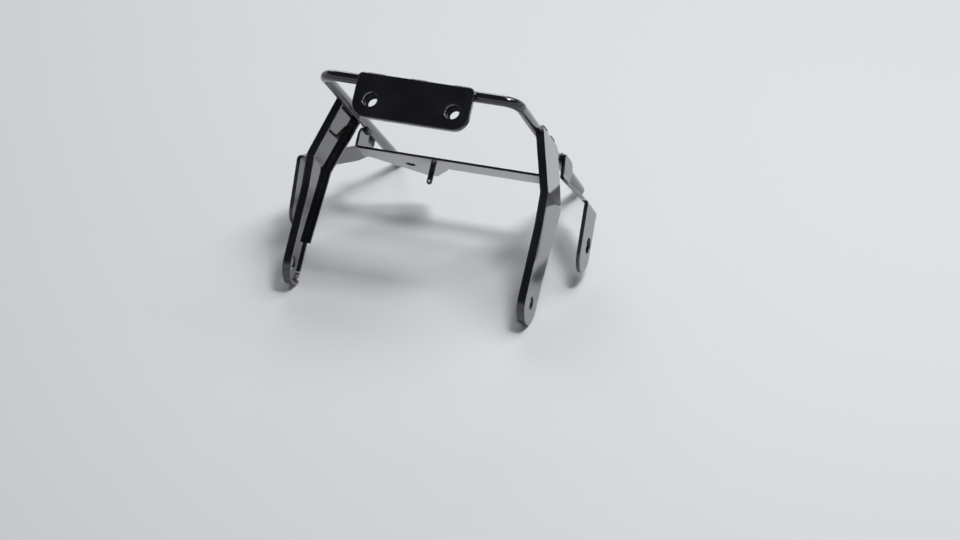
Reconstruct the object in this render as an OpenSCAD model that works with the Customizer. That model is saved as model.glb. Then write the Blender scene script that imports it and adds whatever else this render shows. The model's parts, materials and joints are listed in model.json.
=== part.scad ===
// Light bracket for a motorbike: a round rod bent into a U, with a lamp plate
// welded to its front bar, two pressed channel legs, two joggled flat legs and
// a thin cross plate. It is drawn in the place in which it is bolted on, with
// the rod level, and is then tipped back onto its front feet and rod ends.

/* [Rod] */
// Diameter of the bent rod
rod_d = 8; // [6:0.5:10]
// Distance between the centre lines of the two arms
arm_spacing = 148; // [120:1:190]
// Length of the arms, from the centre line of the front bar to the ends
arm_length = 217; // [190:1:260]
// Bend radius at the centre line of the two front corners
rod_bend_r = 11; // [8:0.5:20]
// Height of the rod's centre line over the lowest point of the front feet
rod_height = 139.5; // [120:0.5:170]

/* [Lamp plate] */
// Width of the lamp plate
plate_w = 88; // [78:1:110]
// Height of the lamp plate
plate_h = 33; // [28:1:45]
// Thickness of the lamp plate
plate_t = 5; // [3:0.5:6]
// How far the plate's top edge stands above the rod's centre line
plate_rise = 3.5; // [1:0.5:6]
// Corner radius at the bottom of the lamp plate
plate_low_r = 11; // [4:0.5:13]
// Corner radius at the top of the lamp plate
plate_top_r = 3.5; // [1:0.5:6]
// Diameter of the two lamp bolt holes
lamp_hole_d = 10.6; // [6:0.1:11]
// Distance between the two lamp bolt holes
lamp_hole_spacing = 62; // [50:1:66]
// Height of the lamp bolt holes above the plate's bottom edge
lamp_hole_rise = 13.5; // [11:0.5:17]

/* [Weld nuts] */
// Width across the flats of the two weld nuts
nut_flats = 16; // [13:0.5:17]
// Thickness of the weld nuts
nut_t = 8; // [5:0.5:9]
// Bore of the weld nuts, at the crests of the thread
nut_bore_d = 8.5; // [5:0.1:8.5]

/* [Front legs] */
// Distance from each arm's centre line out to the outer face of its front foot
front_splay = 19.5; // [14:0.5:40]
// Sheet thickness of the channel legs
channel_t = 2; // [1.5:0.25:2.5]
// Depth of the channel, over the outside of its web
channel_depth = 6; // [5:0.5:8]
// Width of the channel at the top, along the rod
channel_top_w = 49; // [40:1:60]
// Distance from the front bar to the front edge of the channel's top
channel_setback = 59; // [50:1:70]
// Drop from the rod's centre line to the fold
channel_fold_drop = 45; // [35:1:55]
// Radius of the rounded front foot
front_foot_r = 16; // [14:0.5:18]
// Distance from the front bar back to the centre of the front feet
front_foot_setback = 82.5; // [76:0.5:90]
// Diameter of the bolt hole in each front foot
front_hole_d = 10; // [6:0.5:12]

/* [Rear legs] */
// Distance from each arm's centre line out to the outer face of its rear foot
rear_splay = 40.5; // [30:0.5:56]
// Plate thickness of the rear legs
rear_t = 3; // [2:0.25:4]
// Length of the tab that lies along the rod
rear_tab_l = 32; // [26:1:40]
// Distance from the front bar to the front of the tab
rear_tab_setback = 130; // [118:1:140]
// Drop from the rod's centre line to the upper fold
rear_fold_drop = 12; // [9:0.5:16]
// Drop from the rod's centre line to the lower fold
rear_low_fold_drop = 38; // [32:1:46]
// Radius of the rounded rear foot
rear_foot_r = 14; // [12:0.5:16]
// Distance from the front bar back to the centre of the rear feet
rear_foot_setback = 125; // [120:0.5:132]
// Drop from the rod's centre line to the centre of the rear feet's arc
rear_foot_drop = 72; // [66:0.5:80]
// Height of the rear bolt hole above the centre of the foot's arc
rear_hole_rise = 7.5; // [0:0.5:9]
// Diameter of the bolt hole in each rear foot
rear_hole_d = 11.5; // [6:0.5:13]

/* [Cross plate] */
// Width of the cross plate's strip
cross_w = 22; // [16:1:26]
// Sheet thickness of the cross plate
cross_t = 2; // [1.5:0.25:3]
// Drop from the rod's centre line to the underside of the strip
cross_drop = 22; // [15:0.5:26]
// Gap between the rear edge of the channel legs and the front edge of the strip
cross_gap = 2; // [1:0.5:6]
// How far the gusset reaches behind the strip
gusset_reach = 27; // [18:1:32]
// Diameter of the small hole in the gusset
cross_hole_d = 7.5; // [4:0.5:8]

/* [Cable peg] */
// Diameter of the cable peg
peg_d = 4.5; // [3:0.25:6]
// How far the peg hangs below the cross plate
peg_drop = 10.5; // [7:0.5:14]
// Diameter of the eye across the peg
peg_eye_d = 2; // [1:0.25:2.5]

/* [Fits] */
// Clearance between the rod and the plates that are notched round it
saddle_gap = 0.05; // [0.02:0.01:0.2]
// Clearance round the peg in its hole
peg_gap = 0.05; // [0.02:0.01:0.2]

/* [Hidden] */
$fn = 64;
black = "#17181b";
steel = "#1d1e21";

// Lengths run back from the front bar and heights up from the lowest foot
rod_r = rod_d/2;
arm_x = arm_spacing/2;
bar_y = 0;
rod_z = rod_height;
rod_end = bar_y + arm_length;

// The front feet
front_x = arm_x + front_splay;
foot_c = [bar_y + front_foot_setback, front_foot_r];
fold_z = rod_z - channel_fold_drop;
// Flat between the two round corners of a foot
foot_flat = 1;
front_foot_half = front_foot_r + foot_flat/2;

// Tilt at which the front feet and the lower edge of the rod's ends both touch
// the ground
rest_c = foot_c + [foot_flat/2, 0];
rest_run = rod_end - rest_c[0];
rest_rise = rod_z - rod_r - rest_c[1];
rest_tilt = atan2(rest_rise, rest_run) + asin(front_foot_r/norm([rest_run, rest_rise]));
rest_lift = front_foot_r + rest_c[0]*sin(rest_tilt) - rest_c[1]*cos(rest_tilt);
rest_front = (rest_c[0] - foot_flat)*cos(rest_tilt) + rest_c[1]*sin(rest_tilt) - front_foot_r;
rest_back = rod_end*cos(rest_tilt) + (rod_z + rod_r)*sin(rest_tilt);

// Puts a piece that is drawn with the rod level into its resting place
module at_rest()
    translate([0, -(rest_front + rest_back)/2, rest_lift]) rotate([-rest_tilt, 0, 0]) children();

// Makes the left piece from the right one
module left_hand() mirror([1, 0, 0]) children();

// Angle of one step round a rounded corner
step_angle = 9;

function unit(v) = v/norm(v);
function side_of(a, b) = let (d = unit(b - a)) [-d[1], d[0]];
function mitre(m, n) = (m + n)/(1 + m*n);
function reversed(p) = [for (i = [len(p) - 1:-1:0]) p[i]];

// An open path moved sideways by t, with mitred corners
function moved_path(p, t) = let (last = len(p) - 1)
    [for (i = [0:last]) p[i] + t*(i == 0 ? side_of(p[0], p[1])
        : i == last ? side_of(p[last - 1], p[last])
        : mitre(side_of(p[i - 1], p[i]), side_of(p[i], p[i + 1])))];

// A closed outline moved inwards by t, for points that run anticlockwise
function inset(p, t) = let (n = len(p))
    [for (i = [0:n - 1]) let (a = p[(i + n - 1) % n], b = p[i], c = p[(i + 1) % n])
        b + t*mitre(side_of(a, b), side_of(b, c))];

// The points of one corner rounded to radius r, with one step for each few degrees
function corner(a, b, c, r) =
    r == 0 ? [b] :
    let (u = unit(a - b), v = unit(c - b), half = acos(u*v)/2,
         mid = b + unit(u + v)*r/sin(half),
         start = b + u*r/tan(half), end = b + v*r/tan(half),
         from = atan2(start[1] - mid[1], start[0] - mid[0]),
         turn = atan2(end[1] - mid[1], end[0] - mid[0]) - from,
         sweep = turn > 180 ? turn - 360 : turn < -180 ? turn + 360 : turn,
         steps = ceil(abs(sweep)/step_angle))
    [for (k = [0:steps]) mid + r*[cos(from + sweep*k/steps), sin(from + sweep*k/steps)]];

// A closed outline given as [x, y, corner radius]
function rounded(p) = let (n = len(p))
    [for (i = [0:n - 1]) let (a = p[(i + n - 1) % n], b = p[i], c = p[(i + 1) % n])
        each corner([a[0], a[1]], [b[0], b[1]], [c[0], c[1]], b[2])];

// An open path given as [x, y, corner radius]
function rounded_path(p) = let (last = len(p) - 1)
    [for (i = [0:last]) let (a = p[max(i - 1, 0)], b = p[i], c = p[min(i + 1, last)])
        each i == 0 || i == last ? [[b[0], b[1]]]
            : corner([a[0], a[1]], [b[0], b[1]], [c[0], c[1]], b[2])];

// A sheet whose section, seen from the front as [x, z], follows a path. It runs
// from one y to the other and lies on the left of the path by its thickness.
module folded_sheet(path, t, from, to) front_outline(concat(path, reversed(moved_path(path, t))), from, to);

// A flat outline, seen from the front as [x, z], run from one y to the other
module front_outline(points, from, to)
    translate([0, to, 0]) rotate([90, 0, 0]) linear_extrude(to - from) polygon(points);

// A flat outline, seen from the side as [y, z], run from one x to the other
module side_outline(points, from, to)
    translate([from, 0, 0]) rotate([90, 0, 90]) linear_extrude(to - from) polygon(points);

// A straight run along y with round ends, for a weld bead
module bead_y(x, z, from, to, r) {
    translate([x, from, z]) rotate([-90, 0, 0]) cylinder(h = to - from, r = r, $fn = 24);
    for (y = [from, to]) translate([x, y, z]) sphere(r = r, $fn = 24);
}

// A straight run along x with round ends, for a weld bead
module bead_x(y, z, from, to, r) {
    translate([from, y, z]) rotate([0, 90, 0]) cylinder(h = to - from, r = r, $fn = 24);
    for (x = [from, to]) translate([x, y, z]) sphere(r = r, $fn = 24);
}

// The two straight arms and, with a gap over 0, the room that they take in a notch
module rod_arms(gap = 0) for (side = [-1, 1])
    translate([side*arm_x, bar_y + rod_bend_r, rod_z])
        rotate([-90, 0, 0]) cylinder(h = arm_length - rod_bend_r, r = rod_r + gap);

module front_bar() translate([rod_bend_r - arm_x, bar_y, rod_z])
    rotate([0, 90, 0]) cylinder(h = 2*(arm_x - rod_bend_r), r = rod_r);

module top_rod() color(black) at_rest() {
    front_bar();
    rod_arms();
    for (side = [-1, 1]) translate([side*(arm_x - rod_bend_r), bar_y + rod_bend_r, rod_z])
        rotate([0, 0, side > 0 ? -90 : 180])
            rotate_extrude(angle = 90) translate([rod_bend_r, 0]) circle(r = rod_r);
}

// Lamp plate
plate_back = bar_y - rod_r;
plate_top = rod_z + plate_rise;
plate_low = plate_top - plate_h;
lamp_hole_z = plate_low + lamp_hole_rise;

module lamp_plate() color(steel) at_rest() difference() {
    translate([0, plate_back, 0]) rotate([90, 0, 0]) linear_extrude(plate_t)
        polygon(rounded([[-plate_w/2, plate_low, plate_low_r], [plate_w/2, plate_low, plate_low_r],
                         [plate_w/2, plate_top, plate_top_r], [-plate_w/2, plate_top, plate_top_r]]));
    for (side = [-1, 1]) translate([side*lamp_hole_spacing/2, plate_back + 1, lamp_hole_z])
        rotate([90, 0, 0]) cylinder(h = plate_t + 2, d = lamp_hole_d);
}

// Weld nuts behind the lamp bolt holes, with their outer edges chamfered
nut_chamfer = 1;
module weld_nuts() color(black) at_rest()
    for (side = [-1, 1]) translate([side*lamp_hole_spacing/2, plate_back, lamp_hole_z])
        rotate([-90, 0, 0]) difference() {
            intersection() {
                rotate([0, 0, 30]) cylinder(h = nut_t, d = nut_flats/cos(30), $fn = 6);
                union() {
                    cylinder(h = nut_t - nut_chamfer, d = nut_flats/cos(30) + 1);
                    translate([0, 0, nut_t - nut_chamfer])
                        cylinder(h = nut_chamfer, d1 = nut_flats/cos(30), d2 = nut_flats - 1);
                }
            }
            translate([0, 0, -1]) cylinder(h = nut_t + 2, d = nut_bore_d);
        }

// Front legs: the flare that brings the web's inner face against the rod
web_in = front_x - channel_t;
to_rod = [web_in - arm_x, rod_z - fold_z];
flare = atan2(to_rod[0], to_rod[1]) - asin((rod_r + 2*saddle_gap)/norm(to_rod));
// How far the channel's top stands above the rod's centre line
channel_rise = 2;
channel_top = rod_z + channel_rise;
flare_top_x = front_x - (channel_top - fold_z)*tan(flare);
channel_fold_r = 8;
// How far the bent section runs past the outline that cuts it
path_past = 5;
channel_path = rounded_path([[front_x, -1, 0], [front_x, fold_z, channel_fold_r],
                             [flare_top_x - tan(flare)*path_past, channel_top + path_past, 0]]);

// The leg seen from the side, from the foot up the rear edge and down the front
channel_front = bar_y + channel_setback;
channel_rear = channel_front + channel_top_w;
// How far the shin's rear side runs straight up from the foot's centre
shin_rise = 20;
// How far below the fold the leg is as wide as its top, at the rear
shoulder_drop = 9;
// How far below the fold the front side leaves the foot's line
shin_drop = 24;
// How far the top's rear and front edges lean in towards the fold
rear_lean = 2.5;
front_lean = 1.5;
channel_corner_r = 3;
shoulder_r = 14;
side_r = 20;
shin_r = 30;
function channel_outline(top) = rounded([
    [foot_c[0] - front_foot_half, 0, front_foot_r],
    [foot_c[0] + front_foot_half, 0, front_foot_r],
    [foot_c[0] + front_foot_half, foot_c[1] + shin_rise, side_r],
    [channel_rear - rear_lean, fold_z - shoulder_drop, shoulder_r],
    [channel_rear, top, channel_corner_r],
    [channel_front, top, channel_corner_r],
    [channel_front + front_lean, fold_z + channel_rise, side_r],
    [foot_c[0] - front_foot_half, fold_z - shin_drop, shin_r]]);
// Height at which the rear flange runs out into the low lip round the foot
flange_end = foot_c[1] + shin_rise;
// Height of that lip, from the leg's outer face
foot_lip = 3.5;
// How far the hollow of the channel is cut past its open faces
cut_past = 10;
channel_open = [[arm_x - cut_past, channel_top + 2*cut_past], [arm_x - cut_past, -1]];

module channel_leg() difference() {
    intersection() {
        folded_sheet(channel_path, channel_depth, 0, rod_end);
        side_outline(channel_outline(channel_top), 0, front_x + 1);
    }
    intersection() {
        front_outline(concat(moved_path(channel_path, channel_t), channel_open), 0, rod_end);
        side_outline(inset(channel_outline(channel_top + cut_past), channel_t), 0, front_x + 1);
    }
    intersection() {
        front_outline(concat(moved_path(channel_path, foot_lip), channel_open), 0, rod_end);
        translate([0, foot_c[0] + front_foot_half, flange_end - front_foot_r])
            rotate([0, 90, 0]) cylinder(h = front_x + 1, r = front_foot_r);
    }
    rod_arms(saddle_gap);
    translate([0, foot_c[0], foot_c[1]]) rotate([0, 90, 0])
        cylinder(h = front_x + 2, d = front_hole_d);
}

module front_leg_right() color(black) at_rest() channel_leg();
module front_leg_left() color(black) at_rest() left_hand() channel_leg();

// Rear legs
rear_x = arm_x + rear_splay;
tab_out_x = arm_x + rod_r + saddle_gap + rear_t;
tab_top = rod_z + rod_r;
rear_fold_r = 4;
rear_fold_z = rod_z - rear_fold_drop;
rear_low_fold_z = rod_z - rear_low_fold_drop;
rear_foot_c = [bar_y + rear_foot_setback, rod_z - rear_foot_drop];
rear_foot_half = rear_foot_r + foot_flat/2;
rear_path = rounded_path([[rear_x, 0, 0], [rear_x, rear_low_fold_z, rear_fold_r],
                          [tab_out_x, rear_fold_z, rear_fold_r], [tab_out_x, tab_top + path_past, 0]]);
tab_front = bar_y + rear_tab_setback;
tab_back = tab_front + rear_tab_l;
// How far in front of and behind the foot's centre the lower fold ends
knee_front = 27;
knee_back = 4;
// How far the tab's front edge leans back, and its rear corner leans in
tab_lean = 8;
heel_lean = 5;
// How far the tab's rear corner lies below the upper fold
heel_drop = 8;
tab_corner_r = 2;
tab_round_r = 9;
knee_r = 6;
rear_outline = rounded([
    [rear_foot_c[0] - rear_foot_half, rear_foot_c[1] - rear_foot_r, rear_foot_r],
    [rear_foot_c[0] + rear_foot_half, rear_foot_c[1] - rear_foot_r, rear_foot_r],
    [rear_foot_c[0] + knee_back, rear_low_fold_z - 1, knee_r],
    [tab_back - heel_lean, rear_fold_z - heel_drop, knee_r],
    [tab_back, tab_top, tab_round_r],
    [tab_front, tab_top, tab_corner_r],
    [tab_front + tab_lean, rear_fold_z + 1, tab_corner_r],
    [rear_foot_c[0] - knee_front, rear_low_fold_z, knee_r]]);

module joggled_leg() difference() {
    intersection() {
        folded_sheet(rear_path, rear_t, 0, rod_end);
        side_outline(rear_outline, 0, rear_x + 1);
    }
    rod_arms(saddle_gap);
    translate([0, rear_foot_c[0], rear_foot_c[1] + rear_hole_rise]) rotate([0, 90, 0])
        cylinder(h = rear_x + 2, d = rear_hole_d);
}

module rear_leg_right() color(black) at_rest() joggled_leg();
module rear_leg_left() color(black) at_rest() left_hand() joggled_leg();

// Cross plate: a thin strip whose ends turn up against the rods, with a
// three-cornered gusset behind its left half
cross_low = rod_z - cross_drop;
cross_front = channel_rear + cross_gap;
cross_back = cross_front + cross_w;
cross_x = arm_x + cross_t;
ear_top = rod_z - rod_r;
cross_fold_r = 3;
cross_path = rounded_path([[-cross_x, ear_top, 0], [-cross_x, cross_low, cross_fold_r],
                           [cross_x, cross_low, cross_fold_r], [cross_x, ear_top, 0]]);
// Round front corner of each upturned end
ear_round_r = 8;
ear_outline = rounded([[cross_front, cross_low - 1, 0], [cross_back, cross_low - 1, 0],
                       [cross_back, ear_top, cross_fold_r], [cross_front, ear_top, ear_round_r]]);
// The gusset's ends and its flat tip, from the middle, and its lap under the strip
gusset_left = -arm_x + 5;
gusset_right = -8;
gusset_tip = [-31, -22];
gusset_lap = 4;
gusset_r = 4;
gusset = rounded([[gusset_left, cross_back - gusset_lap, 0], [gusset_right, cross_back - gusset_lap, 0],
                  [gusset_right, cross_back + gusset_lap, gusset_r],
                  [gusset_tip[1], cross_back + gusset_reach, gusset_r],
                  [gusset_tip[0], cross_back + gusset_reach, gusset_r],
                  [gusset_left, cross_back, 0]]);
cross_hole = [-37.5, cross_back + 2.5];
peg_at = [-23.5, cross_back + 14];

module cross_plate() color(black) at_rest() difference() {
    union() {
        intersection() {
            folded_sheet(cross_path, cross_t, cross_front, cross_back);
            side_outline(ear_outline, -cross_x - 1, cross_x + 1);
        }
        translate([0, 0, cross_low]) linear_extrude(cross_t) polygon(gusset);
    }
    translate([cross_hole[0], cross_hole[1], cross_low - 1])
        cylinder(h = cross_t + 2, d = cross_hole_d);
    translate([peg_at[0], peg_at[1], cross_low - 1])
        cylinder(h = cross_t + 2, d = peg_d + 2*peg_gap);
}

// Cable peg: riveted through the gusset, with an eye near its round end
peg_head_d = peg_d + 2.5;
peg_head_top_d = peg_d + 1;
peg_head_t = 1.2;
// Height of the round end's centre, and of the eye above it
peg_end = peg_d/2 - peg_drop;
peg_eye_rise = 0.4;
module cable_peg() color(black) at_rest() translate([peg_at[0], peg_at[1], cross_low]) difference() {
    union() {
        translate([0, 0, cross_t]) cylinder(h = peg_head_t, d1 = peg_head_d, d2 = peg_head_top_d);
        translate([0, 0, peg_end]) cylinder(h = cross_t - peg_end, d = peg_d);
        translate([0, 0, peg_end]) sphere(d = peg_d);
    }
    translate([0, -peg_d, peg_end + peg_eye_rise]) rotate([-90, 0, 0])
        cylinder(h = 2*peg_d, d = peg_eye_d);
}

// Weld beads: round runs laid in the grooves, less the pieces that they join
bead_r = 2;
// The groove over the lamp plate: length of its runs, and how far they stay from the ends
plate_run = 15;
plate_inset = 4;
plate_groove = [plate_back + 1.4, rod_z + rod_r - 0.9];
module plate_welds() color(black) at_rest() difference() {
    for (x = [-plate_w/2 + plate_inset, -plate_run/2, plate_w/2 - plate_inset - plate_run])
        bead_x(plate_groove[0], plate_groove[1], x, x + plate_run, bead_r);
    front_bar();
    translate([-plate_w/2, plate_back - plate_t, plate_low]) cube([plate_w, plate_t, plate_h]);
}

// One bead on each side of the bracket, at [x, z]
module leg_bead_pair(from, to, at)
    for (side = [-1, 1]) bead_y(side*at[0], at[1], from, to, bead_r);

// The grooves over the channel legs: two runs a leg, and how far they stay from the corners
leg_run = 12;
leg_inset = 6;
leg_groove = [arm_x + rod_r - 1.2, rod_z + rod_r - 0.8];
module front_leg_welds() color(black) at_rest() difference() {
    for (y = [channel_front + leg_inset, channel_rear - leg_inset - leg_run])
        leg_bead_pair(y, y + leg_run, leg_groove);
    rod_arms();
    channel_leg();
    left_hand() channel_leg();
}

// The grooves over the tabs, from the square front corner to the round rear one
tab_groove = [arm_x + rod_r - 1.4, rod_z + rod_r - 0.6];
module rear_leg_welds() color(black) at_rest() difference() {
    leg_bead_pair(tab_front + 5, tab_back - tab_round_r - 1, tab_groove);
    rod_arms();
    joggled_leg();
    left_hand() joggled_leg();
}

// Beads inside the cross plate's ears, behind their round corners
ear_groove = [cross_x - cross_t - 1, ear_top - 0.4];
module cross_plate_welds() color(black) at_rest() difference() {
    leg_bead_pair(cross_front + ear_round_r + 1, cross_back - cross_fold_r, ear_groove);
    rod_arms();
    for (side = [-1, 1]) translate([side*(cross_x - cross_t/2) - cross_t/2, cross_front, cross_low])
        cube([cross_t, cross_w, rod_z - cross_low]);
}

top_rod();
lamp_plate();
weld_nuts();
front_leg_left();
front_leg_right();
rear_leg_left();
rear_leg_right();
cross_plate();
cable_peg();
plate_welds();
front_leg_welds();
rear_leg_welds();
cross_plate_welds();
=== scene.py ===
"""Looks of a motorbike's welded light bracket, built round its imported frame.

The bracket is steel under gloss black paint. The rod, the weld beads and the nuts
are modelled here, and the plate and sheet pieces are the frame's own shapes with
broken edges. The front legs keep their sharp edges, which only their paint softens.
Sizes are in millimetres until a mesh is made.
"""
import json
import logging
import math
from collections.abc import Callable
from dataclasses import dataclass, field
from enum import Enum

import bmesh
import bpy
from mathutils import Matrix, Vector

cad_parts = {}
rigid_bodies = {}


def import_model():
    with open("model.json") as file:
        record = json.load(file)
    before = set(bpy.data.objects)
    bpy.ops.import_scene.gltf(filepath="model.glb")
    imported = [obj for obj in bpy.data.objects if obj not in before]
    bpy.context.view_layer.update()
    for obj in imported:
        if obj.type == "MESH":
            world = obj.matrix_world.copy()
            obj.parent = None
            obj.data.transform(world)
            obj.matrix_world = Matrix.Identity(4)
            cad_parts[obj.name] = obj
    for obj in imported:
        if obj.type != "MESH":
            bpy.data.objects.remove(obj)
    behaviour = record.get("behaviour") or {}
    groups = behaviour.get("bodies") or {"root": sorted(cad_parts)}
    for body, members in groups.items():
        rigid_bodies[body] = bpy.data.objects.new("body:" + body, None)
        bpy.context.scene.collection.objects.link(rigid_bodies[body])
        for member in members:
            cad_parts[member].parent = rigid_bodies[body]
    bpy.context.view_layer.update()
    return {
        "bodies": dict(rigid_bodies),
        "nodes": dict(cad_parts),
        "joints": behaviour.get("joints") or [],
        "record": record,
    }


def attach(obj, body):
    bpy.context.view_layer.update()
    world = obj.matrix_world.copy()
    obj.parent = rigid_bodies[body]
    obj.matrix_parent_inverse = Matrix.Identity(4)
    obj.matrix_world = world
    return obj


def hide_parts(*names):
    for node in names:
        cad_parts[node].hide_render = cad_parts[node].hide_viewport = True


LOG = logging.getLogger("light_bracket")
MM = 0.001
BODY = "root"
# Fineness of a weld bead: steps along one ripple, points round it, and how a ripple's rise is curved
BEAD_STEPS = 8.0
BEAD_POINTS = 20
RIPPLE_RISE = 1.6
# Slightly over 1, so that a bead's end keeps a small flat instead of a point
CAP_FLAT = 1.02
# Seed and grain of the unevenness of the beads
WANDER_SEED = 7.0
WANDER_SCALE = 900.0
ROD_POINTS = 48
BEND_POINTS = 20


def linear(code: str) -> tuple[float, float, float, float]:
    """Turns an sRGB hex colour into linear red, green, blue and alpha.

    Args:
        code: Six hex digits after a hash sign.

    Returns:
        The linear colour with an alpha of 1.
    """
    parts = [int(code[i:i + 2], 16) / 255 for i in (1, 3, 5)]
    red, green, blue = (c / 12.92 if c <= 0.04045 else ((c + 0.055) / 1.055) ** 2.4 for c in parts)
    return red, green, blue, 1.0


def add_node(tree: bpy.types.NodeTree, kind: str, settings: dict | None = None,
             inputs: dict | None = None) -> bpy.types.Node:
    """Adds a node with its settings, its values and its links.

    Args:
        tree: The tree that the node goes into.
        kind: Blender's own name of the node's type.
        settings: Values of the node's own properties.
        inputs: Socket name or number to a value, or to the socket that feeds it.

    Returns:
        The new node.
    """
    node = tree.nodes.new(kind)
    for name, value in (settings or {}).items():
        setattr(node, name, value)
    for key, value in (inputs or {}).items():
        if isinstance(value, bpy.types.NodeSocket):
            tree.links.new(value, node.inputs[key])
        else:
            node.inputs[key].default_value = value
    return node


@dataclass(frozen=True)
class Stance:
    """Where the level bracket stands once it is tipped onto its feet, in millimetres."""

    arm_spacing: float = 148.0
    arm_length: float = 217.0
    rod_d: float = 8.0
    rod_height: float = 139.5
    foot_r: float = 16.0
    foot_setback: float = 82.5
    foot_flat: float = 1.0

    @property
    def tilt(self) -> float:
        """Angle at which the front feet and the ends of the rod both touch the ground."""
        run = self.arm_length - self.foot_setback - self.foot_flat / 2
        rise = self.rod_height - self.rod_d / 2 - self.foot_r
        return math.atan2(rise, run) + math.asin(self.foot_r / math.hypot(run, rise))

    def at_rest(self) -> Matrix:
        """Gives the move from the level place, in millimetres, to the resting place, in metres."""
        sin, cos = math.sin(self.tilt), math.cos(self.tilt)
        toe = self.foot_setback + self.foot_flat / 2
        lift = self.foot_r + toe * sin - self.foot_r * cos
        front = (toe - self.foot_flat) * cos + self.foot_r * sin - self.foot_r
        back = self.arm_length * cos + (self.rod_height + self.rod_d / 2) * sin
        place = Matrix.Translation((0, -(front + back) / 2, lift)) @ Matrix.Rotation(-self.tilt, 4, "X")
        return Matrix.Scale(MM, 4) @ place


STANCE = Stance()


class Texture(Enum):
    """What shows through a coat of paint."""

    SMOOTH = "smooth"
    ROLLED = "rolled"
    RIPPLED = "rippled"


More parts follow.
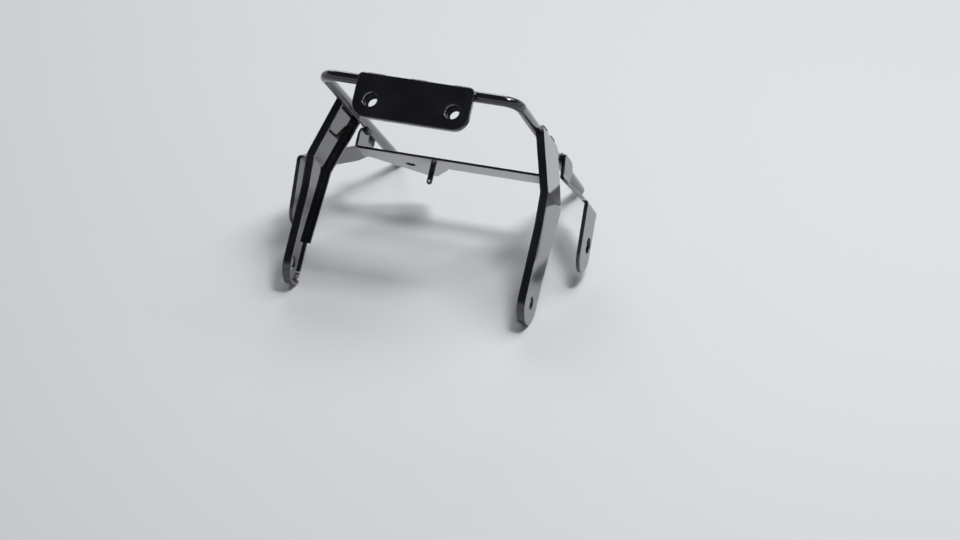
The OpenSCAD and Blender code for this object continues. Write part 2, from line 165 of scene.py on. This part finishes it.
@dataclass(frozen=True)
class GlossPaint:
    """Stoved gloss black enamel on steel: a deep black with a wet, slightly wavy skin.

    The sizes of its patterns are in millimetres.
    """

    name: str
    slot: str
    under: Texture
    deep: str = "#0d0e10"
    thin: str = "#1b1c1f"
    edge: str = "#2b2c30"
    roughness: float = 0.06
    haze: float = 0.05
    peel_mm: float = 1.6
    peel_depth_mm: float = 0.010
    cloud_mm: float = 24.0
    speck_mm: float = 0.7
    edge_mm: float = 0.5
    round_mm: float = 0.0
    ior: float = 1.52
    coat: float = 0.8
    coat_roughness: float = 0.02

    def build(self) -> bpy.types.Material:
        """Builds the enamel's node tree.

        Returns:
            The finished material.
        """
        material = bpy.data.materials.new(self.name)
        material.use_nodes = True
        tree = material.node_tree
        tree.nodes.clear()
        place = add_node(tree, "ShaderNodeTexCoord").outputs["Object"]
        cloud = self._noise(tree, place, self.cloud_mm, detail=3.0)
        speck = self._noise(tree, place, self.speck_mm, detail=2.0)
        colour = self._colour(tree, cloud, speck)
        rough = self._roughness(tree, cloud, speck)
        normal = self._skin(tree, place)
        shader = add_node(tree, "ShaderNodeBsdfPrincipled", inputs={
            "Base Color": colour, "Roughness": rough, "Normal": normal, "Metallic": 0.0,
            "IOR": self.ior, "Coat Weight": self.coat,
            "Coat Roughness": self.coat_roughness, "Coat IOR": self.ior})
        add_node(tree, "ShaderNodeOutputMaterial", inputs={"Surface": shader.outputs["BSDF"]})
        return material

    def _noise(self, tree: bpy.types.NodeTree, place: bpy.types.NodeSocket, grain_mm: float,
               detail: float) -> bpy.types.NodeSocket:
        """Adds an even noise whose grain has a real size.

        Args:
            tree: The material's tree.
            place: Coordinates in metres.
            grain_mm: Size of one grain in millimetres.
            detail: Number of finer layers.

        Returns:
            The noise's value, about 0.5 on average.
        """
        noise = add_node(tree, "ShaderNodeTexNoise", inputs={
            "Vector": place, "Scale": 1 / (grain_mm * MM), "Detail": detail, "Roughness": 0.55})
        return noise.outputs["Fac"]

    def _colour(self, tree: bpy.types.NodeTree, cloud: bpy.types.NodeSocket,
                speck: bpy.types.NodeSocket) -> bpy.types.NodeSocket:
        """Mixes deep and thin paint, and a paler worn line along the edges.

        Args:
            tree: The material's tree.
            cloud: Slow variation over the piece.
            speck: Fine dust in the paint.

        Returns:
            The colour's socket.
        """
        patch = add_node(tree, "ShaderNodeMapRange", inputs={
            "Value": cloud, "From Min": 0.35, "From Max": 0.75})
        base = add_node(tree, "ShaderNodeMix", {"data_type": "RGBA"}, {
            0: patch.outputs["Result"], 6: linear(self.deep), 7: linear(self.thin)})
        rounded = add_node(tree, "ShaderNodeBevel", {"samples": 4}, {"Radius": self.edge_mm * MM})
        flat = add_node(tree, "ShaderNodeNewGeometry")
        facing = add_node(tree, "ShaderNodeVectorMath", {"operation": "DOT_PRODUCT"}, {
            0: rounded.outputs["Normal"], 1: flat.outputs["Normal"]})
        worn = add_node(tree, "ShaderNodeMapRange", inputs={
            "Value": facing.outputs["Value"], "From Min": 0.99, "From Max": 0.80})
        broken = add_node(tree, "ShaderNodeMath", {"operation": "MULTIPLY", "use_clamp": True}, {
            0: worn.outputs["Result"], 1: speck})
        edged = add_node(tree, "ShaderNodeMix", {"data_type": "RGBA"}, {
            0: broken.outputs["Value"], 6: base.outputs[2], 7: linear(self.edge)})
        return edged.outputs[2]

    def _roughness(self, tree: bpy.types.NodeTree, cloud: bpy.types.NodeSocket,
                   speck: bpy.types.NodeSocket) -> bpy.types.NodeSocket:
        """Varies the gloss: hazy patches and fine dust specks.

        Args:
            tree: The material's tree.
            cloud: Slow variation over the piece.
            speck: Fine dust in the paint.

        Returns:
            The roughness socket.
        """
        slow = add_node(tree, "ShaderNodeMapRange", inputs={
            "Value": cloud, "From Min": 0.3, "From Max": 0.7,
            "To Min": self.roughness, "To Max": self.roughness + self.haze})
        dust = add_node(tree, "ShaderNodeMapRange", inputs={
            "Value": speck, "From Min": 0.66, "From Max": 0.74, "To Max": 0.12})
        total = add_node(tree, "ShaderNodeMath", {"operation": "ADD"}, {
            0: slow.outputs["Result"], 1: dust.outputs["Result"]})
        return total.outputs["Value"]

    def _skin(self, tree: bpy.types.NodeTree, place: bpy.types.NodeSocket) -> bpy.types.NodeSocket:
        """Gives the paint its wavy skin over what lies under it.

        Args:
            tree: The material's tree.
            place: Coordinates in metres.

        Returns:
            The normal socket.
        """
        peel = self._noise(tree, place, self.peel_mm, detail=1.0)
        bump = add_node(tree, "ShaderNodeBump", inputs={
            "Height": peel, "Strength": 1.0, "Distance": self.peel_depth_mm * MM})
        if self.round_mm:
            rolled = add_node(tree, "ShaderNodeBevel", {"samples": 8}, {"Radius": self.round_mm * MM})
            tree.links.new(rolled.outputs["Normal"], bump.inputs["Normal"])
        if self.under is Texture.SMOOTH:
            return bump.outputs["Normal"]
        # Rolled sheet keeps long shallow waves, and a weld its spatter, under the paint
        grain, depth = (9.0, 0.05) if self.under is Texture.ROLLED else (0.9, 0.05)
        under = self._noise(tree, place, grain, detail=2.0)
        lower = add_node(tree, "ShaderNodeBump", inputs={
            "Height": under, "Strength": 1.0, "Distance": depth * MM,
            "Normal": bump.outputs["Normal"]})
        return lower.outputs["Normal"]


@dataclass(frozen=True)
class Phosphate:
    """Phosphated steel of a nut's thread: dark grey, fine grained and slightly oily."""

    name: str = "phosphated_steel"
    dark: str = "#242527"
    light: str = "#4a4b4e"
    grain_mm: float = 0.5
    roughness: float = 0.42

    def build(self) -> bpy.types.Material:
        """Builds the phosphate's node tree.

        Returns:
            The finished material.
        """
        material = bpy.data.materials.new(self.name)
        material.use_nodes = True
        tree = material.node_tree
        tree.nodes.clear()
        place = add_node(tree, "ShaderNodeTexCoord").outputs["Object"]
        grain = add_node(tree, "ShaderNodeTexNoise", inputs={
            "Vector": place, "Scale": 1 / (self.grain_mm * MM), "Detail": 4.0}).outputs["Fac"]
        colour = add_node(tree, "ShaderNodeMix", {"data_type": "RGBA"}, {
            0: grain, 6: linear(self.dark), 7: linear(self.light)})
        rough = add_node(tree, "ShaderNodeMapRange", inputs={
            "Value": grain, "To Min": self.roughness - 0.08, "To Max": self.roughness + 0.14})
        bump = add_node(tree, "ShaderNodeBump", inputs={"Height": grain, "Distance": 0.02 * MM})
        shader = add_node(tree, "ShaderNodeBsdfPrincipled", inputs={
            "Base Color": colour.outputs[2], "Roughness": rough.outputs["Result"],
            "Normal": bump.outputs["Normal"], "Metallic": 1.0})
        add_node(tree, "ShaderNodeOutputMaterial", inputs={"Surface": shader.outputs["BSDF"]})
        return material


def finish_piece(piece: bpy.types.Object, slot: str, *nodes: str) -> None:
    """Hands a finished piece over to the frame and reports it.

    Args:
        piece: The finished object, in place.
        slot: The record's material slot; not used.
        nodes: CAD nodes that it stands for.
    """
    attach(piece, BODY)
    if nodes:
        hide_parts(*nodes)
    LOG.info("%s: %d faces", piece.name, len(piece.data.polygons))


def settle(piece: bpy.types.Object) -> None:
    """Turns a piece's live modifiers into its plain mesh and removes them.

    Args:
        piece: The object to settle.
    """
    graph = bpy.context.evaluated_depsgraph_get()
    mesh = bpy.data.meshes.new_from_object(piece.evaluated_get(graph), depsgraph=graph)
    piece.modifiers.clear()
    old = piece.data
    piece.data = mesh
    bpy.data.meshes.remove(old)
    mesh.name = piece.name


def new_piece(name: str, mesh: bpy.types.Mesh) -> bpy.types.Object:
    """Links a mesh into the scene as an object at the origin.

    Args:
        name: The piece's name.
        mesh: Its mesh, already in place.

    Returns:
        The new object.
    """
    piece = bpy.data.objects.new(name, mesh)
    bpy.context.scene.collection.objects.link(piece)
    return piece


def polyline(name: str, routes: list[list[Vector]]) -> bpy.types.Object:
    """Makes an object of open chains of points, for Geometry Nodes to follow.

    Args:
        name: The object's name.
        routes: Chains of points, in metres.

    Returns:
        The object, whose mesh has edges only.
    """
    points = [point for route in routes for point in route]
    edges, start = [], 0
    for route in routes:
        edges += [(start + i, start + i + 1) for i in range(len(route) - 1)]
        start += len(route)
    mesh = bpy.data.meshes.new(name)
    mesh.from_pydata([tuple(p) for p in points], edges, [])
    return new_piece(name, mesh)


@dataclass
class PathTree:
    """A Geometry Nodes tree that has named inputs and ends in one painted mesh."""

    name: str
    sizes: dict[str, float]
    tree: bpy.types.NodeTree = field(init=False)
    ids: dict[str, str] = field(init=False, default_factory=dict)

    def __post_init__(self) -> None:
        """Makes the empty tree and its inputs."""
        self.tree = bpy.data.node_groups.new(self.name, "GeometryNodeTree")
        sides = self.tree.interface
        sides.new_socket("Geometry", in_out="INPUT", socket_type="NodeSocketGeometry")
        for label, value in self.sizes.items():
            socket = sides.new_socket(label, in_out="INPUT", socket_type="NodeSocketFloat")
            socket.default_value = value
            self.ids[label] = socket.identifier
        paint = sides.new_socket("Paint", in_out="INPUT", socket_type="NodeSocketMaterial")
        self.ids["Paint"] = paint.identifier
        sides.new_socket("Geometry", in_out="OUTPUT", socket_type="NodeSocketGeometry")
        self.inputs = add_node(self.tree, "NodeGroupInput").outputs

    def close(self, mesh: bpy.types.NodeSocket) -> None:
        """Ends the tree: real geometry, smooth, in its paint.

        Args:
            mesh: The geometry to put out.
        """
        smooth = add_node(self.tree, "GeometryNodeSetShadeSmooth", inputs={"Geometry": mesh})
        real = add_node(self.tree, "GeometryNodeRealizeInstances",
                        inputs={"Geometry": smooth.outputs["Geometry"]})
        painted = add_node(self.tree, "GeometryNodeSetMaterial", inputs={
            "Geometry": real.outputs["Geometry"], "Material": self.inputs["Paint"]})
        add_node(self.tree, "NodeGroupOutput", inputs={0: painted.outputs["Geometry"]})

    def grow(self, piece: bpy.types.Object, paint: bpy.types.Material) -> None:
        """Runs the tree on an object and keeps the plain mesh that it gives.

        Args:
            piece: The object whose chains of points the tree follows.
            paint: The material of the result.
        """
        modifier = piece.modifiers.new(self.name, "NODES")
        modifier.node_group = self.tree
        for label, value in self.sizes.items():
            modifier[self.ids[label]] = value
        modifier[self.ids["Paint"]] = paint
        settle(piece)


def rod_tree(rod_d: float, bend_r: float) -> PathTree:
    """Builds the tree that bends a round rod along a chain of points.

    Args:
        rod_d: Diameter of the rod in millimetres.
        bend_r: Radius of its bends at the centre line, in millimetres.

    Returns:
        The finished tree.
    """
    path = PathTree("bent_rod", {"Radius": rod_d / 2 * MM, "Bend radius": bend_r * MM})
    tree, given = path.tree, path.inputs
    curve = add_node(tree, "GeometryNodeMeshToCurve", inputs={"Mesh": given["Geometry"]})
    bent = add_node(tree, "GeometryNodeFilletCurve", {"mode": "POLY"}, {
        "Curve": curve.outputs["Curve"], "Radius": given["Bend radius"], "Count": BEND_POINTS})
    ring = add_node(tree, "GeometryNodeCurvePrimitiveCircle", inputs={
        "Resolution": ROD_POINTS, "Radius": given["Radius"]})
    swept = add_node(tree, "GeometryNodeCurveToMesh", inputs={
        "Curve": bent.outputs["Curve"], "Profile Curve": ring.outputs["Curve"], "Fill Caps": True})
    path.close(swept.outputs["Mesh"])
    return path


def bead_tree(radius: float, pitch: float, ripple: float) -> PathTree:
    """Builds the tree that lays rippled weld beads along chains of points.

    Args:
        radius: Half the bead's width, in millimetres.
        pitch: Distance from ripple to ripple, in millimetres.
        ripple: Height of a ripple, as a share of the radius.

    Returns:
        The finished tree.
    """
    path = PathTree("weld_bead", {"Radius": radius * MM, "Pitch": pitch * MM, "Ripple": ripple,
                                  "Wander": 0.18 * MM})
    tree, given = path.tree, path.inputs

    def sum_of(kind: str, first: object, second: object = 0.0) -> bpy.types.NodeSocket:
        """Adds one step of arithmetic and gives its result."""
        return add_node(tree, "ShaderNodeMath", {"operation": kind}, {0: first, 1: second}).outputs[0]

    curve = add_node(tree, "GeometryNodeMeshToCurve", inputs={"Mesh": given["Geometry"]})
    fine = add_node(tree, "GeometryNodeResampleCurve", {"mode": "LENGTH"}, {
        "Curve": curve.outputs["Curve"], "Length": sum_of("DIVIDE", given["Pitch"], BEAD_STEPS)})
    along = add_node(tree, "GeometryNodeSplineParameter").outputs
    length = add_node(tree, "GeometryNodeSplineLength").outputs["Length"]
    # Each ripple rises slowly and drops quickly, as the pool freezes in steps
    step = sum_of("FRACT", sum_of("DIVIDE", along["Length"], given["Pitch"]))
    wave = sum_of("MULTIPLY", sum_of("POWER", step, RIPPLE_RISE), given["Ripple"])
    # Both ends are round: the radius follows a circle over the last radius of length
    left = sum_of("MINIMUM", along["Length"], sum_of("SUBTRACT", length, along["Length"]))
    near = sum_of("MINIMUM", sum_of("DIVIDE", left, given["Radius"]), 1.0)
    away = sum_of("SUBTRACT", 1.0, near)
    cap = sum_of("SQRT", sum_of("SUBTRACT", CAP_FLAT, sum_of("MULTIPLY", away, away)))
    scale = sum_of("MULTIPLY", cap, sum_of("SUBTRACT", 1.0, wave))
    thick = sum_of("MULTIPLY", scale, given["Radius"])
    ring = add_node(tree, "GeometryNodeCurvePrimitiveCircle", inputs={
        "Resolution": BEAD_POINTS, "Radius": 1.0})
    sweep = add_node(tree, "GeometryNodeCurveToMesh", inputs={
        "Curve": fine.outputs["Curve"], "Profile Curve": ring.outputs["Curve"], "Scale": thick,
        "Fill Caps": True})
    noise = add_node(tree, "ShaderNodeTexNoise", {"noise_dimensions": "4D"}, {
        "W": WANDER_SEED, "Scale": WANDER_SCALE, "Detail": 1.0})
    centred = add_node(tree, "ShaderNodeVectorMath", {"operation": "SUBTRACT"}, {
        0: noise.outputs["Color"], 1: (0.5, 0.5, 0.5)})
    shift = add_node(tree, "ShaderNodeVectorMath", {"operation": "SCALE"}, {
        0: centred.outputs["Vector"], "Scale": given["Wander"]})
    moved = add_node(tree, "GeometryNodeSetPosition", inputs={
        "Geometry": sweep.outputs["Mesh"], "Offset": shift.outputs["Vector"]})
    path.close(moved.outputs["Geometry"])
    return path


@dataclass
class Rod:
    """The round bar that is bent into a U."""

    stance: Stance = STANCE
    bend_r: float = 11.0
    break_mm: float = 0.6

    def build(self, paint: GlossPaint) -> None:
        """Bends the rod and hands it over.

        Args:
            paint: Its finish.
        """
        x, z = self.stance.arm_spacing / 2, self.stance.rod_height
        level = [(-x, self.stance.arm_length, z), (-x, 0, z), (x, 0, z), (x, self.stance.arm_length, z)]
        place = self.stance.at_rest()
        piece = polyline("bent_rod", [[place @ Vector(p) for p in level]])
        rod_tree(self.stance.rod_d, self.bend_r).grow(piece, paint.build())
        self._break_ends(piece)
        finish_piece(piece, paint.slot, "top_rod")

    def _break_ends(self, piece: bpy.types.Object) -> None:
        """Takes the sharp edge off both sawn ends.

        Args:
            piece: The swept rod.
        """
        bevel = piece.modifiers.new("broken_edge", "BEVEL")
        bevel.width = self.break_mm * MM
        bevel.segments = 3
        bevel.limit_method = "ANGLE"
        bevel.angle_limit = math.radians(60)
        even_normals(piece)
        settle(piece)


def even_normals(piece: bpy.types.Object) -> None:
    """Keeps flat faces flat beside their rounded edges.

    Args:
        piece: The object that gets the modifier.
    """
    weighted = piece.modifiers.new("even_normals", "WEIGHTED_NORMAL")
    weighted.mode = "FACE_AREA"
    weighted.weight = 50
    weighted.keep_sharp = True


@dataclass
class SheetPiece:
    """A plate or sheet piece: the frame's own shape with its sharp edges broken.

    An edge size of 0 leaves the shape as it is, and its paint rounds the edges instead.
    """

    node: str
    edge_mm: float
    segments: int = 3
    sharp_deg: float = 35.0

    def build(self, frame: dict, paint: GlossPaint, coat: bpy.types.Material) -> None:
        """Copies the node's shape, merges its loose triangles and rounds its edges.

        Args:
            frame: The loaded frame.
            paint: Its finish.
            coat: The material built from that finish.
        """
        mesh = frame["nodes"][self.node].data.copy()
        mesh.materials.clear()
        mesh.materials.append(coat)
        self._weigh_edges(mesh)
        piece = new_piece(self.node + "_painted", mesh)
        if self.edge_mm:
            bevel = piece.modifiers.new("edges", "BEVEL")
            bevel.width = self.edge_mm * MM
            bevel.segments = self.segments
            bevel.limit_method = "WEIGHT"
            bevel.use_clamp_overlap = False
            bevel.miter_outer = "MITER_ARC"
        even_normals(piece)
        settle(piece)
        finish_piece(piece, paint.slot, self.node)

    def _weigh_edges(self, mesh: bpy.types.Mesh) -> None:
        """Merges the mesh's flat faces and marks each edge that is rounded or stays sharp.

        Args:
            mesh: The copied mesh, changed in place.
        """
        shape = bmesh.new()
        shape.from_mesh(mesh)
        bmesh.ops.remove_doubles(shape, verts=shape.verts, dist=0.004 * MM)
        bmesh.ops.dissolve_limit(shape, angle_limit=math.radians(0.6), verts=shape.verts,
                                 edges=shape.edges)
        bmesh.ops.recalc_face_normals(shape, faces=shape.faces)
        weight = shape.edges.layers.float.new("bevel_weight_edge")
        for edge in shape.edges:
            if len(edge.link_faces) != 2 or edge.calc_face_angle(0) < math.radians(self.sharp_deg):
                continue
            edge[weight] = 1.0
            edge.smooth = self.edge_mm > 0
        for face in shape.faces:
            face.smooth = True
        shape.to_mesh(mesh)
        shape.free()


@dataclass
class Beads:
    """Weld beads in the grooves between the rod and what hangs on it."""

    name: str
    node: str
    runs: list[tuple[Vector, Vector]]
    radius: float = 2.1
    pitch: float = 1.5
    ripple: float = 0.16

    def build(self, paint: GlossPaint, coat: bpy.types.Material) -> None:
        """Lays the beads and hands them over.

        Args:
            paint: Their finish.
            coat: The material built from that finish.
        """
        place = STANCE.at_rest()
        piece = polyline(self.name, [[place @ a, place @ b] for a, b in self.runs])
        bead_tree(self.radius, self.pitch, self.ripple).grow(piece, coat)
        finish_piece(piece, paint.slot, self.node)


@dataclass
class WeldNuts:
    """The two chamfered nuts behind the lamp plate, with a real thread inside."""

    spacing: float = 62.0
    height: float = 123.5
    face_y: float = -4.0
    flats: float = 16.0
    thick: float = 8.0
    crest_r: float = 4.25
    crest_share: float = 0.3
    lead_mm: float = 0.15
    thread_depth: float = 0.75
    pitch: float = 1.5
    around: int = 72
    rows_per_turn: int = 6
    chamfer_deg: float = 30.0

    def build(self, paint: GlossPaint, coat: bpy.types.Material, bare: bpy.types.Material) -> None:
        """Builds both nuts as one piece and hands it over.

        Args:
            paint: The finish outside.
            coat: The material built from that finish.
            bare: The thread's material.
        """
        shape = bmesh.new()
        for side in (-1, 1):
            self._add_nut(shape, side * self.spacing / 2)
        bmesh.ops.recalc_face_normals(shape, faces=shape.faces)
        mesh = bpy.data.meshes.new("weld_nuts_threaded")
        shape.to_mesh(mesh)
        shape.free()
        mesh.materials.append(coat)
        mesh.materials.append(bare)
        mesh.transform(STANCE.at_rest())
        piece = new_piece("weld_nuts_threaded", mesh)
        finish_piece(piece, paint.slot, "weld_nuts")

    def _hexagon(self, angle: float) -> float:
        """Gives the distance from the axis to the hexagon's side at an angle."""
        sixth = math.pi / 3
        return self.flats / 2 / math.cos((angle + sixth / 2) % sixth - sixth / 2)

    def _thread(self, angle: float, depth: float) -> float:
        """Gives the bore's radius at an angle and a depth: a V thread, flattened at its crests."""
        turn = (depth / self.pitch - angle / math.tau) % 1.0
        rise = 1 - abs(2 * turn - 1) - self.crest_share
        groove = max(rise, 0.0) / (1 - self.crest_share)
        return self.crest_r + self.thread_depth * min(groove * 1.25, 1.0)

    def _add_nut(self, shape: bmesh.types.BMesh, x: float) -> None:
        """Adds one nut as rings of points from its bore round its outside.

        Args:
            shape: The mesh that is being built.
            x: Place of its axis, in level millimetres.
        """
        slope = math.tan(math.radians(self.chamfer_deg))
        rows = round(self.thick / self.pitch * self.rows_per_turn)
        rings = []
        angles = [math.tau * k / self.around for k in range(self.around)]
        flat_r = self.flats / 2 - 0.4
        lead_r = self.crest_r + self.thread_depth + 0.35
        profile: list[Callable[[float], tuple[float, float]]] = []
        for row in range(rows + 1):
            deep = self.lead_mm + (self.thick - 2 * self.lead_mm) * row / rows
            profile.append(lambda a, d=deep: (self._thread(a, d), d))
        profile.append(lambda a: (lead_r, self.thick))
        profile.append(lambda a: (flat_r, self.thick))
        profile.append(lambda a: (self._hexagon(a), self.thick - (self._hexagon(a) - flat_r) * slope))
        profile.append(lambda a: (self._hexagon(a), 0.0))
        profile.append(lambda a: (lead_r, 0.0))
        for place in profile:
            ring = []
            for angle in angles:
                radius, deep = place(angle)
                ring.append(shape.verts.new((x + radius * math.cos(angle), self.face_y + deep,
                                             self.height + radius * math.sin(angle))))
            rings.append(ring)
        for i, ring in enumerate(rings):
            after = rings[(i + 1) % len(rings)]
            for k in range(self.around):
                m = (k + 1) % self.around
                face = shape.faces.new((ring[k], ring[m], after[m], after[k]))
                inside = i < rows or i == len(rings) - 1
                face.material_index = 1 if inside else 0
                face.smooth = inside


@dataclass
class Studio:
    """Pale floor, soft lamps and the camera at the photograph's angle."""

    floor_colour: str = "#d9dbde"
    floor_m: float = 12.0
    camera_mm: tuple[float, float, float] = (660.2, -1800.4, 1212.2)
    azimuth_deg: float = 19.427
    down_deg: float = 32.84
    roll_deg: float = -1.298
    lens_mm: float = 112.5
    sensor_mm: float = 36.0

    def build(self) -> None:
        """Sets up the floor, the lamps, the world and the camera."""
        bpy.context.scene.view_settings.view_transform = "Standard"
        self._floor()
        self._world()
        self._lamp("overhead", (0.45, -0.08, 1.3), (0.30, 0.30), 8.0)
        self._lamp("rear_fill", (-0.7, 1.5, 1.1), (1.2, 0.6), 10.0)
        self._lamp("ceiling", (0.8, 1.0, 2.5), (1.6, 1.6), 31.0)
        self._camera()

    def _floor(self) -> None:
        """Lays a matt pale floor under the bracket."""
        mesh = bpy.data.meshes.new("floor")
        half = self.floor_m / 2
        mesh.from_pydata([(-half, -half, 0), (half, -half, 0), (half, half, 0), (-half, half, 0)],
                         [], [(0, 1, 2, 3)])
        material = bpy.data.materials.new("pale_floor")
        material.use_nodes = True
        tree = material.node_tree
        tree.nodes.clear()
        shader = add_node(tree, "ShaderNodeBsdfDiffuse", inputs={"Color": linear(self.floor_colour)})
        add_node(tree, "ShaderNodeOutputMaterial", inputs={"Surface": shader.outputs["BSDF"]})
        mesh.materials.append(material)
        new_piece("floor", mesh)

    def _world(self) -> None:
        """Gives a room that is pale near the floor and darker overhead."""
        world = bpy.data.worlds.new("studio")
        bpy.context.scene.world = world
        world.use_nodes = True
        tree = world.node_tree
        tree.nodes.clear()
        way = add_node(tree, "ShaderNodeTexCoord").outputs["Generated"]
        height = add_node(tree, "ShaderNodeSeparateXYZ", inputs={"Vector": way}).outputs["Z"]
        dark = add_node(tree, "ShaderNodeMapRange", {"interpolation_type": "SMOOTHSTEP"}, {
            "Value": height, "From Min": 0.15, "From Max": 0.65})
        shade = add_node(tree, "ShaderNodeMix", {"data_type": "RGBA"}, {
            0: dark.outputs["Result"], 6: linear("#d9dbde"), 7: linear("#3c3d40")})
        room = add_node(tree, "ShaderNodeBackground", inputs={
            "Color": shade.outputs[2], "Strength": 1.0})
        plain = add_node(tree, "ShaderNodeBackground", inputs={
            "Color": linear(self.floor_colour), "Strength": 1.0})
        ray = add_node(tree, "ShaderNodeLightPath").outputs["Is Camera Ray"]
        both = add_node(tree, "ShaderNodeMixShader", inputs={
            0: ray, 1: room.outputs["Background"], 2: plain.outputs["Background"]})
        add_node(tree, "ShaderNodeOutputWorld", inputs={"Surface": both.outputs["Shader"]})

    def _lamp(self, name: str, place: tuple[float, float, float], size: tuple[float, float],
              watts: float) -> None:
        """Hangs a soft lamp that points at the bracket.

        Args:
            name: The lamp's name.
            place: Where it hangs, in metres.
            size: Its width and height, in metres.
            watts: Its power.
        """
        light = bpy.data.lights.new(name, "AREA")
        light.shape = "RECTANGLE"
        light.size, light.size_y = size
        light.energy = watts
        lamp = bpy.data.objects.new(name, light)
        lamp.location = place
        lamp.rotation_euler = Vector(place).to_track_quat("Z", "Y").to_euler()
        bpy.context.scene.collection.objects.link(lamp)

    def _camera(self) -> None:
        """Puts the camera where the photograph was taken from."""
        data = bpy.data.cameras.new("camera")
        data.lens, data.sensor_width, data.clip_end = self.lens_mm, self.sensor_mm, 50
        camera = bpy.data.objects.new("camera", data)
        turn = (Matrix.Rotation(math.radians(self.azimuth_deg), 4, "Z")
                @ Matrix.Rotation(math.radians(90 - self.down_deg), 4, "X")
                @ Matrix.Rotation(math.radians(self.roll_deg), 4, "Z"))
        camera.matrix_world = Matrix.Translation(Vector(self.camera_mm) * MM) @ turn
        bpy.context.scene.collection.objects.link(camera)
        bpy.context.scene.camera = camera


@dataclass(frozen=True)
class BeadPlaces:
    """Where the weld beads lie, in level millimetres; sides are given for the right arm."""

    plate_starts: tuple[float, ...] = (-40.0, -7.5, 25.0)
    plate_run: float = 15.0
    plate_yz: tuple[float, float] = (-2.9, 142.9)
    front_starts: tuple[float, ...] = (65.0, 90.0)
    front_run: float = 12.0
    front_xz: tuple[float, float] = (76.8, 142.7)
    rear_start: float = 134.0
    rear_run: float = 19.0
    rear_xz: tuple[float, float] = (76.6, 142.9)
    ear_start: float = 118.0
    ear_run: float = 12.0
    ear_xz: tuple[float, float] = (73.0, 135.1)

    def runs(self) -> dict[str, list[tuple[Vector, Vector]]]:
        """Gives each node's runs as pairs of a start and an end."""
        y, z = self.plate_yz
        plate = [(Vector((x, y, z)), Vector((x + self.plate_run, y, z))) for x in self.plate_starts]
        return {"plate_welds": plate,
                "front_leg_welds": self._both(self.front_xz, self.front_starts, self.front_run),
                "rear_leg_welds": self._both(self.rear_xz, (self.rear_start,), self.rear_run),
                "cross_plate_welds": self._both(self.ear_xz, (self.ear_start,), self.ear_run)}

    def _both(self, place: tuple[float, float], starts: tuple[float, ...],
              length: float) -> list[tuple[Vector, Vector]]:
        """Lays runs along both arms, on the left arm first.

        Args:
            place: Distance from the middle, and height.
            starts: Front end of each run on an arm.
            length: Length of a run.

        Returns:
            The runs' starts and ends.
        """
        x, z = place
        return [(Vector((side * x, y, z)), Vector((side * x, y + length, z)))
                for side in (-1, 1) for y in starts]


def main() -> None:
    """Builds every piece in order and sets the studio."""
    logging.basicConfig(level=logging.INFO, format="%(name)s: %(message)s")
    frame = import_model()
    Studio().build()
    rod_paint = GlossPaint("black_enamel_on_rod", "black_rod", Texture.SMOOTH, peel_depth_mm=0.006)
    plate_paint = GlossPaint("black_enamel_on_plate", "black_plate", Texture.SMOOTH)
    sheet_paint = GlossPaint("black_enamel_on_sheet", "black_sheet", Texture.ROLLED)
    rolled_paint = GlossPaint("black_enamel_on_rolled_sheet", "black_sheet", Texture.ROLLED, round_mm=1.6)
    weld_paint = GlossPaint("black_enamel_on_weld", "black_weld", Texture.RIPPLED, roughness=0.14)
    plate_coat, sheet_coat, weld_coat = plate_paint.build(), sheet_paint.build(), weld_paint.build()
    rolled_coat = rolled_paint.build()
    Rod().build(rod_paint)
    for node, edge in (("lamp_plate", 0.9), ("rear_leg_left", 0.6), ("rear_leg_right", 0.6)):
        SheetPiece(node, edge).build(frame, plate_paint, plate_coat)
    SheetPiece("cross_plate", 0.45).build(frame, sheet_paint, sheet_coat)
    SheetPiece("cable_peg", 0.3).build(frame, sheet_paint, sheet_coat)
    for node in ("front_leg_left", "front_leg_right"):
        SheetPiece(node, 0.0).build(frame, rolled_paint, rolled_coat)
    WeldNuts().build(sheet_paint, sheet_coat, Phosphate().build())
    for node, runs in BeadPlaces().runs().items():
        Beads(node.replace("welds", "beads"), node, runs).build(weld_paint, weld_coat)


if __name__ == "__main__":
    main()
